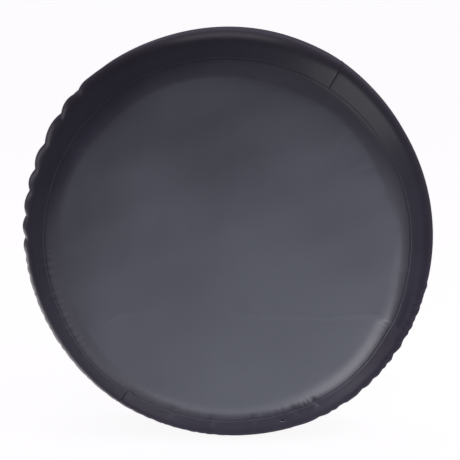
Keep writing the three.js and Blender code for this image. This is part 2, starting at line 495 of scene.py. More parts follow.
@dataclass(frozen=True)
class Swell:
    """A stretch round the cover that stands further out, or in if its rise is less than zero.

    Attributes:
        angle: The angle of its middle, in degrees.
        spread: How wide it is, in degrees.
        rise: How far its middle stands out, in metres.
    """

    angle: float
    spread: float
    rise: float

    def lift(self, angle: np.ndarray) -> np.ndarray:
        """The lift at each angle."""
        return self.rise * np.exp(-0.5 * (apart(angle, self.angle) / self.spread) ** 2)


@dataclass(frozen=True)
class Crease:
    """A crease pressed into the disc while the cover was folded up in its packing.

    Attributes:
        path: Points along it as (x, z), from left to right, in metres.
        height: The height of its ridge.
        width: The half width of its ridge.
        fade: The length over which it fades at each end.
    """

    path: tuple[tuple[float, float], ...]
    height: float
    width: float
    fade: float = 0.03

    def lift(self, x: np.ndarray, z: np.ndarray) -> np.ndarray:
        """The ridge and the hollow below it.

        Args:
            x: The points' places from left to right.
            z: Their heights.

        Returns:
            The lift at each point, in metres.
        """
        xs, zs = np.array(self.path).T
        above = z - np.interp(x, xs, zs)
        ridge = np.exp(-((above / self.width) ** 2))
        hollow = np.exp(-(((above + 2.2 * self.width) / (1.8 * self.width)) ** 2))
        ends = eased((x - xs[0]) / self.fade) * eased((xs[-1] - x) / self.fade)
        return self.height * (ridge - 0.6 * hollow) * ends


@dataclass(frozen=True)
class Puff:
    """A slack stretch of the panel's rim, which ends sharply where a crease crosses the rim.

    Attributes:
        start: The angle of its sharp end.
        end: The angle where it has faded out.
        rise: How far it stands out, in metres.
        reach: The four places of its window along the guide, in metres.
        edge: The width of its sharp end, in degrees.
    """

    start: float
    end: float
    rise: float
    reach: tuple[float, float, float, float]
    edge: float = 1.6

    def lift(self, angle: np.ndarray, guide: np.ndarray) -> np.ndarray:
        """How far it lifts the cloth.

        Args:
            angle: The points' angles.
            guide: Their distances from the crease.

        Returns:
            The lift at each point, in metres.
        """
        turn = (angle - self.start) % 360
        span = self.end - self.start
        shape = eased(turn / self.edge) * eased((span - turn) / (span - self.edge))
        return self.rise * shape * window(guide, *self.reach)


@dataclass
class GatheredSurface:
    """The shape that the cloth takes on the tire: its gathers, swells, creases and puckers.

    Attributes:
        section: The cover's section.
        join_angle: The angle of the upper join.
        join_ridge: How far the tread stands up beside a join.
        join_spread: How far round the cover that reaches, in degrees.
        join_valley: How deep a join lies in its ridge.
        swells: The slow changes of the tread's radius.
        drifts: Where the slack seam lies further from the axis.
        drift_reach: The window of the drifts along the guide.
        gathers: The rows of folds on the band.
        puckers: The rows of small folds at the seam.
        puffs: The slack stretches of the panel's rim.
        creases: The creases on the disc.
        pulls: The angles at which the seam's thread pulls the cloth in.
        pull_depth: How deep a pull is.
        pull_length: How far it reaches along the guide.
        pull_spread: How far it reaches round the cover, in degrees.
        tread_reach: The window of the swells and ridges along the guide.
        valley_reach: The window of the joins' valleys along the guide.
        valley_spread: Their width, in degrees.
        wave_height: The height of the disc's slow waves.
        ripple_height: The height of its ripples.
        disc_radius: Where waves, ripples and creases have faded out.
        disc_fade: The width over which they fade.
        full_highlight_fold: The height of a fold whose crest gets the full painted highlight.
    """

    section: Section
    join_angle: float = 57.0
    join_ridge: float = 0.0010
    join_spread: float = 11.0
    join_valley: float = 0.0002
    swells: tuple[Swell, ...] = (
        Swell(133, 13, 0.0062),
        Swell(216, 20, -0.0022),
        Swell(302, 20, 0.0050),
        Swell(30, 26, -0.0026),
    )
    drifts: tuple[Swell, ...] = (
        Swell(305, 20, 0.0080),
        Swell(262, 14, 0.0033),
        Swell(228, 12, 0.0042),
    )
    drift_reach: tuple[float, float, float, float] = (-0.075, -0.020, 0.012, 0.075)
    gathers: tuple[Gathers, ...] = (
        Gathers(
            126.9, 190, (9.0, 5.2), 0.0062, (0.030, 0.064, 0.200, 0.275), 56, 2.0, 9, 12, 0.16, 0.08
        ),
        Gathers(180, 278, (3.9, 3.3), 0.0024, (0.034, 0.070, 0.200, 0.275), 5, 1.8, 8, 12),
        Gathers(286, 350, (4.6, 4.0), 0.0030, (0.022, 0.060, 0.200, 0.275), 8, 1.8, 10, 6),
        Gathers(318, 350, (3.1, 2.6), 0.0024, (0.015, 0.045, 0.120, 0.200), 13, 1.5, 6, 5),
        Gathers(0, 360, (3.5, 3.5), 0.0034, (0.190, 0.245, 0.400, 0.500), 21, 1.8, 4, 4),
    )
    puckers: tuple[Gathers, ...] = (
        Gathers(176, 306, (2.6, 2.4), 0.0005, (-0.030, -0.006, 0.002, 0.016), 34, 1.6, 12, 8),
        Gathers(18, 66, (5.2, 6.4), 0.00010, (-0.110, -0.050, -0.030, -0.004), 55, 2.0, 10, 10),
        Gathers(306, 380, (4.4, 5.2), 0.0002, (-0.040, -0.010, 0.002, 0.012), 89, 2.0, 10, 12),
    )
    puffs: tuple[Puff, ...] = (Puff(332.0, 352, 0.0024, (-0.040, -0.012, 0.004, 0.022), 2.2),)
    creases: tuple[Crease, ...] = (
        Crease(
            (
                (-0.010, -0.122),
                (0.080, -0.124),
                (0.160, -0.126),
                (0.215, -0.123),
                (0.242, -0.117),
                (0.258, -0.121),
                (0.285, -0.128),
            ),
            0.00024,
            0.0026,
        ),
        Crease(((-0.175, 0.158), (-0.154, 0.136), (-0.104, 0.069), (-0.085, 0.045)), 0.00016, 0.003),
        Crease(
            ((-0.214, -0.158), (-0.200, -0.135), (-0.180, -0.124), (-0.120, -0.122)), 0.00018, 0.003
        ),
    )
    pulls: tuple[float, ...] = (238.3, 252.0, 265.3, 278.5, 291.8, 298.8)
    pull_depth: float = 0.0012
    pull_length: float = 0.011
    pull_spread: float = 0.85
    tread_reach: tuple[float, float, float, float] = (0.0, 0.075, 0.170, 0.300)
    valley_reach: tuple[float, float, float, float] = (0.002, 0.02, 0.25, 0.3)
    valley_spread: float = 0.45
    wave_height: float = 0.0008
    ripple_height: float = 0.00012
    disc_radius: float = 0.290
    disc_fade: float = 0.02
    # the fold height at which the painted highlight on the crests is full
    full_highlight_fold: float = 0.004

    def angle_of(self, end: End) -> float:
        """The angle of one of the band's joins, in degrees."""
        return self.join_angle + (0 if end is End.UPPER else 180)

    def disc_lift(self, x: np.ndarray, z: np.ndarray, radius: np.ndarray) -> np.ndarray:
        """The creases and the slow waves of the disc.

        Args:
            x: The points' places from left to right.
            z: Their heights.
            radius: Their distances from the axis.

        Returns:
            The lift at each point, in metres.
        """
        lift = sum(crease.lift(x, z) for crease in self.creases)
        waves = np.sin(21 * x + 9 * z + 0.6) * np.sin(17 * z - 6 * x + 1.1)
        ripples = np.sin(52 * x - 31 * z + 2.0) * np.sin(44 * z + 23 * x)
        lift = lift + self.wave_height * waves + self.ripple_height * ripples
        return lift * eased((self.disc_radius - radius) / self.disc_fade)

    def band_lift(self, angle: np.ndarray, guide: np.ndarray) -> tuple[np.ndarray, np.ndarray]:
        """The swells, the joins' ridges and the gathers of the band.

        Args:
            angle: The points' angles.
            guide: Their distances from the crease.

        Returns:
            The lift at each point in metres, and the part of it that comes from folds.
        """
        tread = window(guide, *self.tread_reach)
        swell = sum(s.lift(angle) for s in self.swells) * tread
        for side in (0, 180):
            off = np.abs(apart(angle, self.join_angle + side))
            swell = swell + self.join_ridge * np.clip(1 - off / self.join_spread, 0, 1) * tread
            seam = np.exp(-((off / self.valley_spread) ** 2)) * window(guide, *self.valley_reach)
            swell = swell - self.join_valley * seam
        folds = sum(row.lift(angle, guide) for row in self.gathers)
        return swell + folds, folds

    def lift(
        self, x: np.ndarray, z: np.ndarray, guide: np.ndarray
    ) -> tuple[np.ndarray, np.ndarray]:
        """How far the cloth stands off its plain section.

        Args:
            x: The points' places from left to right.
            z: Their heights.
            guide: Their distances from the crease.

        Returns:
            The lift at each point in metres, and the part of it that comes from folds.
        """
        angle, radius = np.degrees(np.arctan2(z, x)) % 360, np.hypot(x, z)
        band, folds = self.band_lift(angle, guide)
        puckers = sum(row.lift(angle, guide) for row in (*self.puckers, *self.puffs))
        near = np.exp(-((guide / self.pull_length) ** 2))
        across = [apart(angle, pull) / self.pull_spread for pull in self.pulls]
        pulls = sum(np.exp(-(off**2)) for off in across) * near
        disc = self.disc_lift(x, z, radius) * (guide < 0)
        total = band + puckers + disc - self.pull_depth * pulls
        return total, folds + puckers

    def drift(self, angle: np.ndarray, guide: np.ndarray) -> np.ndarray:
        """How far the seam lies further from the axis than it should, where the cover is slack.

        Args:
            angle: The points' angles.
            guide: Their distances from the crease.

        Returns:
            The shift at each point, away from the axis, in metres.
        """
        return sum(s.lift(angle) for s in self.drifts) * window(guide, *self.drift_reach)

    def settle(self, mesh: bpy.types.Mesh) -> None:
        """Moves a mesh's points from the plain section onto the gathered surface.

        The mesh gets an attribute that says how far each point is up a fold, for the painted
        highlight on the fold crests.

        Args:
            mesh: The mesh, in the cover's frame.
        """
        count = len(mesh.vertices)
        places = np.empty(count * 3, np.float32)
        mesh.vertices.foreach_get("co", places)
        x, y, z = places.reshape(-1, 3).astype(float).T
        radius = np.hypot(x, z)
        guide, out = self.section.measured(radius, y)
        lift, folds = self.lift(x, z, guide)
        away = lift * out[:, 0] + self.drift(np.degrees(np.arctan2(z, x)), guide)
        grown = 1 + away / np.maximum(radius, 1e-6)
        moved = np.stack([x * grown, y + lift * out[:, 1], z * grown], axis=1)
        mesh.vertices.foreach_set("co", moved.astype(np.float32).ravel())
        # The fold height, kept for the painted highlight on the fold crests.
        crest_highlight = mesh.attributes.new("fold_height", "FLOAT", "POINT")
        crest_highlight.data.foreach_set("value", (folds / self.full_highlight_fold).astype(np.float32))
        mesh.update()


# ---- Shader graphs ----


class Sock:
    """A shader socket that adds a Math node when it is used in an expression."""

    def __init__(self, graph: "Graph", socket: bpy.types.NodeSocket) -> None:
        """Wraps a socket of a graph."""
        self.graph = graph
        self.socket = socket

    def _math(self, operation: str, first: Any, second: Any) -> "Sock":
        """Adds a Math node.

        Args:
            operation: Its operation.
            first: Its first value or link.
            second: Its second value or link.

        Returns:
            Its result.
        """
        return self.graph.node("ShaderNodeMath", {"operation": operation}, {0: first, 1: second})

    def __add__(self, other: Any) -> "Sock":
        """self + other."""
        return self._math("ADD", self, other)

    __radd__ = __add__

    def __sub__(self, other: Any) -> "Sock":
        """self - other."""
        return self._math("SUBTRACT", self, other)

    def __rsub__(self, other: Any) -> "Sock":
        """other - self."""
        return self._math("SUBTRACT", other, self)

    def __mul__(self, other: Any) -> "Sock":
        """self * other."""
        return self._math("MULTIPLY", self, other)

    __rmul__ = __mul__

    def held(self) -> "Sock":
        """The value, kept from 0 to 1."""
        return self.graph.node(
            "ShaderNodeMath", {"operation": "ADD", "use_clamp": True}, {0: self, 1: 0.0}
        )


class Graph:
    """A material's node tree, cleared and ready for nodes."""

    def __init__(self, name: str) -> None:
        """Makes the material."""
        self.material = bpy.data.materials.new(name)
        self.material.use_nodes = True
        self.tree = self.material.node_tree
        self.tree.nodes.clear()

    def node(
        self,
        kind: str,
        settings: dict[str, Any] | None = None,
        values: dict[str | int, Any] | None = None,
        out: str | int = 0,
    ) -> Sock:
        """Adds a node.

        Args:
            kind: The node's type.
            settings: Its own settings. The stops of a ramp are pairs of place and colour.
            values: Values or links of its input sockets, by name or number.
            out: The output socket that is wanted.

        Returns:
            That output.
        """
        node = self.tree.nodes.new(kind)
        for key, value in (settings or {}).items():
            setattr(node, key, value)
        for key, value in (values or {}).items():
            if isinstance(value, Sock):
                self.tree.links.new(value.socket, node.inputs[key])
            else:
                node.inputs[key].default_value = value
        return Sock(self, node.outputs[out])

    def place(self) -> Sock:
        """The point on the piece, in metres."""
        return self.node("ShaderNodeTexCoord", out="Object")

    def cloth_place(self) -> Sock:
        """The point on the flat cloth, in metres."""
        return self.node("ShaderNodeUVMap", {"uv_map": "cloth"})

    def noise(self, place: Sock, scale: float, detail: float = 3.0, rough: float = 0.5) -> Sock:
        """Cloudy noise.

        Args:
            place: The coordinates.
            scale: How many clouds fit in a metre.
            detail: How many finer layers it has.
            rough: How strong they are.

        Returns:
            The noise, from 0 to 1.
        """
        values = {"Vector": place, "Scale": scale, "Detail": detail, "Roughness": rough}
        return self.node("ShaderNodeTexNoise", {}, values)

    def waves(self, place: Sock, way: str, scale: float, wavering: float) -> Sock:
        """Parallel threads or ribs.

        Args:
            place: The coordinates.
            way: The coordinate along which they follow each other, X or Y.
            scale: How close they lie.
            wavering: How far they are from straight.

        Returns:
            Their height, from 0 to 1.
        """
        values = {"Vector": place, "Scale": scale, "Distortion": wavering}
        return self.node("ShaderNodeTexWave", {"bands_direction": way}, values, out="Fac")

    def stepped(self, value: Sock, low: float, high: float) -> Sock:
        """A soft step.

        Args:
            value: The value.
            low: Where the step starts.
            high: Where it reaches 1.

        Returns:
            The step, from 0 to 1.
        """
        values = {"Value": value, "From Min": low, "From Max": high}
        return self.node("ShaderNodeMapRange", {"interpolation_type": "SMOOTHSTEP"}, values)

    def tint(self, share: Sock, low: Sequence[float] | Sock, high: Sequence[float]) -> Sock:
        """A colour between two.

        Args:
            share: How much of the second colour there is.
            low: The first colour.
            high: The second colour.

        Returns:
            The mixed colour.
        """
        first = low if isinstance(low, Sock) else (*low, 1.0)
        values = {0: share, 6: first, 7: (*high, 1.0)}
        return self.node("ShaderNodeMix", {"data_type": "RGBA"}, values, out=2)

    def bumped(
        self, height: Sock, distance: float, strength: float, base: Sock | None = None
    ) -> Sock:
        """A normal from a height.

        Args:
            height: The height, from 0 to 1.
            distance: What a height of 1 is, in metres.
            strength: The strength of the effect.
            base: The normal that it is added to.

        Returns:
            The normal.
        """
        values: dict[str | int, Any] = {"Height": height, "Distance": distance, "Strength": strength}
        if base is not None:
            values["Normal"] = base
        return self.node("ShaderNodeBump", {}, values)

    def finished(self, **values: Any) -> bpy.types.Material:
        """Closes the graph with a Principled shader.

        Args:
            values: Its sockets, with _ in place of a space.

        Returns:
            The material.
        """
        sockets = {key.replace("_", " "): value for key, value in values.items()}
        shader = self.node("ShaderNodeBsdfPrincipled", {}, sockets)
        output = self.tree.nodes.new("ShaderNodeOutputMaterial")
        self.tree.links.new(shader.socket, output.inputs["Surface"])
        return self.material


@dataclass(frozen=True)
class CoatedCloth:
    """The outside of the cloth: satin vinyl with a fine pressed grain, smoother on the fold crests,
    which are painted lighter as a painted highlight.
    """

    name: str = "coated_cloth"
    deep: tuple[float, float, float] = (0.0150, 0.0135, 0.0205)
    dusty: tuple[float, float, float] = (0.0215, 0.0205, 0.0290)
    # The lighter colour painted on the fold crests: a painted highlight.
    crest_highlight: tuple[float, float, float] = (0.0420, 0.0400, 0.0480)
    roughness: float = 0.38
    gloss: float = 0.30
    cells_per_metre: float = 850.0

    def make(self) -> bpy.types.Material:
        """Makes the material."""
        g = Graph(self.name)
        place = g.place()
        clouds = g.noise(place, 7.0, 6.0, 0.70)
        speckle = g.noise(place, 420.0, 2.0)
        fold = g.node("ShaderNodeAttribute", {"attribute_name": "fold_height"}, out="Fac")
        # Painted highlight: the fold crests get a lighter colour here, and a lower roughness below.
        crest_highlight_mask = (g.stepped(fold, 0.55, 1.1) * g.stepped(speckle, 0.35, 0.7) * 0.5).held()
        colour = g.tint(g.stepped(clouds, 0.3, 0.7), self.deep, self.dusty)
        colour = g.tint(crest_highlight_mask, colour, self.crest_highlight)
        values = {"Vector": place, "Scale": self.cells_per_metre, "Randomness": 0.9}
        cells = g.node("ShaderNodeTexVoronoi", {"feature": "SMOOTH_F1"}, values)
        dents = g.noise(place, 34.0, 3.0, 0.5)
        wavy = g.bumped(dents, 0.0016, 0.16)
        grain = g.bumped(cells * 0.8 + speckle * 0.4, 0.00012, 0.35, wavy)
        rough = clouds * 0.10 + speckle * 0.05 + (self.roughness - 0.075) - crest_highlight_mask * 0.10
        return g.finished(
            Base_Color=colour,
            Roughness=rough,
            IOR=1.5,
            Specular_IOR_Level=0.5,
            Coat_Weight=self.gloss,
            Coat_Roughness=0.24,
            Normal=grain,
        )


@dataclass(frozen=True)
class KnitBacking:
    """The inside of the cloth: a close knit of dull polyester."""

    name: str = "knit_backing"
    valley: tuple[float, float, float] = (0.020, 0.020, 0.022)
    loop: tuple[float, float, float] = (0.090, 0.090, 0.096)
    loops_per_metre: float = 900.0
    rows_per_metre: float = 700.0

    def make(self) -> bpy.types.Material:
        """Makes the material."""
        g = Graph(self.name)
        cloth = g.cloth_place()
        wales = g.waves(cloth, "X", self.loops_per_metre / math.tau * 2, 0.6)
        courses = g.waves(cloth, "Y", self.rows_per_metre / math.tau * 2, 1.2)
        fuzz = g.noise(g.place(), 260.0, 3.0)
        clouds = g.noise(g.place(), 9.0, 3.0)
        height = wales * 0.5 + courses * 0.35 + fuzz * 0.3
        share = (height * 0.7 + clouds * 0.35).held()
        normal = g.bumped(height, 0.0003, 0.6)
        return g.finished(
            Base_Color=g.tint(share, self.valley, self.loop),
            Roughness=0.92 - fuzz * 0.08,
            Sheen_Weight=0.25,
            Sheen_Roughness=0.5,
            Specular_IOR_Level=0.25,
            Normal=normal,
        )


@dataclass(frozen=True)
class CutEdge:
    """The raw edge of the cloth, with the backing's fibres under the coating."""

    name: str = "cut_edge"

    def make(self) -> bpy.types.Material:
        """Makes the material."""
        g = Graph(self.name)
        fibres = g.noise(g.place(), 1400.0, 3.0, 0.7)
        colour = g.tint(g.stepped(fibres, 0.35, 0.65), (0.012, 0.012, 0.014), (0.036, 0.036, 0.039))
        normal = g.bumped(fibres, 0.0003, 0.6)
        return g.finished(Base_Color=colour, Roughness=0.9 - fibres * 0.1, Normal=normal)


@dataclass(frozen=True)
class WovenTape:
    """A narrow woven tape: twill for the seams, ribs for the elastic."""

    name: str
    dark: tuple[float, float, float]
    light: tuple[float, float, float]
    threads_per_metre: float
    slant: float

    def make(self) -> bpy.types.Material:
        """Makes the material."""
        g = Graph(self.name)
        cloth = g.cloth_place()
        scale = self.threads_per_metre / math.tau
        turned_by = {"Vector": cloth, "Rotation": (0.0, 0.0, math.radians(self.slant))}
        leaning = g.node("ShaderNodeMapping", {}, turned_by)
        warp = g.waves(leaning, "X", scale, 0.4)
        weft = g.waves(cloth, "Y", scale * 1.7, 0.4)
        fibres = g.noise(g.place(), 1900.0, 2.0)
        height = warp * 0.6 + weft * 0.25 + fibres * 0.25
        normal = g.bumped(height, 0.00025, 0.7)
        return g.finished(
            Base_Color=g.tint(height.held(), self.dark, self.light),
            Roughness=0.86 - warp * 0.10,
            Sheen_Weight=0.2,
            Sheen_Roughness=0.4,
            Normal=normal,
        )


@dataclass(frozen=True)
class TwistedThread:
    """Polyester sewing thread: two plies twisted round each other."""

    name: str
    dark: tuple[float, float, float]
    light: tuple[float, float, float]

    def make(self) -> bpy.types.Material:
        """Makes the material."""
        g = Graph(self.name)
        uv = g.node("ShaderNodeUVMap", {"uv_map": "thread"})
        leaning = g.node("ShaderNodeMapping", {}, {"Vector": uv, "Rotation": (0, 0, 0.7)})
        plies = g.waves(leaning, "X", 1.6, 0.3)
        fibres = g.noise(g.place(), 3200.0, 2.0)
        share = (plies * 0.7 + fibres * 0.4).held()
        normal = g.bumped(plies, 0.0002, 0.6)
        return g.finished(
            Base_Color=g.tint(share, self.dark, self.light),
            Roughness=0.62 - plies * 0.14,
            Sheen_Weight=0.15,
            Normal=normal,
        )


@dataclass(frozen=True)
class SatinLabel:
    """The blank care label: white woven satin with fine ribs."""

    name: str = "satin_label"

    def make(self) -> bpy.types.Material:
        """Makes the material."""
        g = Graph(self.name)
        cloth = g.cloth_place()
        ribs = g.waves(cloth, "Y", 420.0, 0.2)
        cloud = g.noise(g.place(), 60.0, 3.0)
        share = (ribs * 0.5 + cloud * 0.6).held()
        normal = g.bumped(ribs, 0.00012, 0.5)
        return g.finished(
            Base_Color=g.tint(share, (0.58, 0.57, 0.53), (0.80, 0.79, 0.75)),
            Roughness=0.62 - ribs * 0.12,
            Sheen_Weight=0.3,
            Normal=normal,
        )


# ---- Making pieces ----


def chain(bm: bmesh.types.BMesh, line: Line, angle: float) -> list[bmesh.types.BMEdge]:
    """Draws a line of the section into a mesh.

    Args:
        bm: The mesh.
        line: The points, as radius and Y.
        angle: The angle of the section's plane, in degrees.

    Returns:
        The new edges in order.
    """
    cos, sin = math.cos(math.radians(angle)), math.sin(math.radians(angle))
    verts = [bm.verts.new((p.x * cos, p.y, p.x * sin)) for p in line]
    return [bm.edges.new(pair) for pair in zip(verts, verts[1:])]


def spin(
    bm: bmesh.types.BMesh, geometry: Sequence[Any], turn: float, steps: int, drift: float = 0.0
) -> None:
    """Spins edges about the cover's axis.

    Args:
        bm: The mesh.
        geometry: What is spun.
        turn: How far, in degrees.
        steps: In how many steps.
        drift: How far the last step has moved along Y.
    """
    bmesh.ops.spin(
        bm,
        geom=list(geometry),
        cent=CENTRE,
        axis=AXIS,
        dvec=(0.0, drift / steps, 0.0),
        angle=math.radians(turn),
        steps=steps,
        use_merge=turn >= 360 and not drift,
    )


def face_out(bm: bmesh.types.BMesh, facing: Facing) -> None:
    """Makes the faces agree and point out of the cover.

    Args:
        bm: The mesh.
        facing: Which face is tested.
    """
    bmesh.ops.recalc_face_normals(bm, faces=bm.faces)
    if facing is Facing.ROUND:
        probe = max(bm.faces, key=lambda f: math.hypot(*f.calc_center_median().xz))
        middle = probe.calc_center_median()
        wrong = probe.normal.x * middle.x + probe.normal.z * middle.z < 0
    else:
        probe = min(bm.faces, key=lambda f: f.calc_center_median().y)
        wrong = probe.normal.y > 0
    if wrong:
        bmesh.ops.reverse_faces(bm, faces=bm.faces)


def as_object(bm: bmesh.types.BMesh, name: str) -> bpy.types.Object:
    """Turns a finished bmesh into an object at the origin.

    Args:
        bm: The mesh, which is freed.
        name: The object's name.

    Returns:
        The object, shaded smooth.
    """
    mesh = bpy.data.meshes.new(name)
    bm.to_mesh(mesh)
    bm.free()
    mesh.shade_smooth()
    piece = bpy.data.objects.new(name, mesh)
    bpy.context.scene.collection.objects.link(piece)
    return piece


def lay_flat_map(mesh: bpy.types.Mesh, section: Section, round_radius: float | None) -> None:
    """Gives a mesh the map of its flat cloth, in metres.

    Args:
        mesh: The mesh, still on the plain section.
        section: The cover's section.
        round_radius: The radius at which an angle is turned into a length, or None for the
            disc, whose cloth lies in the plane of X and Z.
    """
    places = np.empty(len(mesh.vertices) * 3, np.float32)
    mesh.vertices.foreach_get("co", places)
    x, y, z = places.reshape(-1, 3).astype(float).T
    corners = np.empty(len(mesh.loops), np.int32)
    mesh.loops.foreach_get("vertex_index", corners)
    if round_radius is None:
        flat = np.stack([x[corners], z[corners]], axis=1)
    else:
        guide, _ = section.measured(np.hypot(x, z), y)
        angle = np.arctan2(z, x)[corners]
        starts = np.empty(len(mesh.polygons), np.int32)
        totals = np.empty(len(mesh.polygons), np.int32)
        mesh.polygons.foreach_get("loop_start", starts)
        mesh.polygons.foreach_get("loop_total", totals)
        first = np.repeat(angle[starts], totals)
        near = first + (angle - first + math.pi) % math.tau - math.pi
        flat = np.stack([near * round_radius, guide[corners]], axis=1)
    layer = mesh.uv_layers.new(name="cloth")
    layer.data.foreach_set("uv", flat.astype(np.float32).ravel())


def thicken(piece: bpy.types.Object, thickness: float, backed: bool) -> None:
    """Gives a sheet its thickness, with the drawn surface in its middle.

    Args:
        piece: The sheet.
        thickness: Its thickness, in metres.
        backed: Whether its inside and its edges have materials of their own.
    """
    solid = piece.modifiers.new("thickness", "SOLIDIFY")
    solid.thickness = thickness
    solid.offset = 0.0
    solid.use_rim = True
    if backed:
        solid.material_offset = 1
        solid.material_offset_rim = 2


def dress(
    piece: bpy.types.Object, materials: Sequence[bpy.types.Material], slot: Slot, *nodes: str
) -> None:
    """Gives a piece its materials and body, and hides the CAD nodes that it stands for.

    Args:
        piece: The piece.
        materials: Its materials in order.
        slot: The record's slot. Not used.
        nodes: The CAD nodes.
    """
    for material in materials:
        piece.data.materials.append(material)
    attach(piece, BODY)
    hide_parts(*nodes)
    LOG.info("%s: %d points, for %s", piece.name, len(piece.data.vertices), ", ".join(nodes))


@dataclass(frozen=True)
class Finishes:
    """The finished materials."""

    outside: bpy.types.Material
    inside: bpy.types.Material
    edge: bpy.types.Material
    tape: bpy.types.Material
    elastic: bpy.types.Material
    thread: bpy.types.Material
    label_thread: bpy.types.Material
    label: bpy.types.Material

    @property
    def cloth(self) -> list[bpy.types.Material]:
        """The three materials of a piece of cloth."""
        return [self.outside, self.inside, self.edge]


@dataclass
class SewnPart:
    """A part of the cover that is drawn on the plain section and settled on the surface."""

    section: Section
    surface: GatheredSurface
    finishes: Finishes

    def settled(
        self, bm: bmesh.types.BMesh, name: str, round_radius: float | None
    ) -> bpy.types.Object:
        """Turns a bmesh into an object with its flat map, and settles it.

        Args:
            bm: The mesh, which is freed.
            name: The object's name.
            round_radius: The radius for its flat map, or None for the disc.

        Returns:
            The object.
        """
        piece = as_object(bm, name)
        lay_flat_map(piece.data, self.section, round_radius)
        self.surface.settle(piece.data)
        return piece


@dataclass
class PanelCloth(SewnPart):
    """The round front panel, rolled over at its rim and sewn under the band."""

    segments: int = 512
    first_ring: float = 0.010
    ring_growth: float = 1.45
    ring_width: float = 0.0062
    growing_radius: float = 0.09  # the rings grow up to here
    split_rings: float = 2.2  # this many rings inside the rim are split

    def line(self) -> Line:
        """The panel's section, with rings that start small at the middle."""
        edge = self.section.panel_edge()
        radii, width = [0.0], self.first_ring
        while radii[-1] + self.ring_width < edge[0].x:
            radii.append(radii[-1] + (width if radii[-1] < self.growing_radius else self.ring_width))
            width *= self.ring_growth
        return joined([Vector((r, edge[0].y)) for r in radii[:-1]], edge)

    def make(self) -> bpy.types.Object:
        """Makes, settles and dresses the panel."""
        bm = bmesh.new()
        spin(bm, chain(bm, self.line(), 0), 360, self.segments)
        bmesh.ops.remove_doubles(bm, verts=bm.verts, dist=MERGED)
        rim = self.section.panel_edge()[0].x - self.split_rings * self.ring_width
        outer = [
            e
            for e in bm.edges
            if all(math.hypot(v.co.x, v.co.z) > rim for v in e.verts)
            and abs(e.verts[0].co.y - e.verts[1].co.y) < 1e-7
            and abs(e.verts[0].co.xz.length - e.verts[1].co.xz.length) < 1e-6
        ]
        bmesh.ops.subdivide_edges(bm, edges=outer, cuts=1, use_grid_fill=True)
        face_out(bm, Facing.FRONT)
        piece = self.settled(bm, "panel_cloth", None)
        dress(piece, self.finishes.cloth, Slot.VINYL, "front_panel")
        thicken(piece, self.section.cloth, True)
        return piece


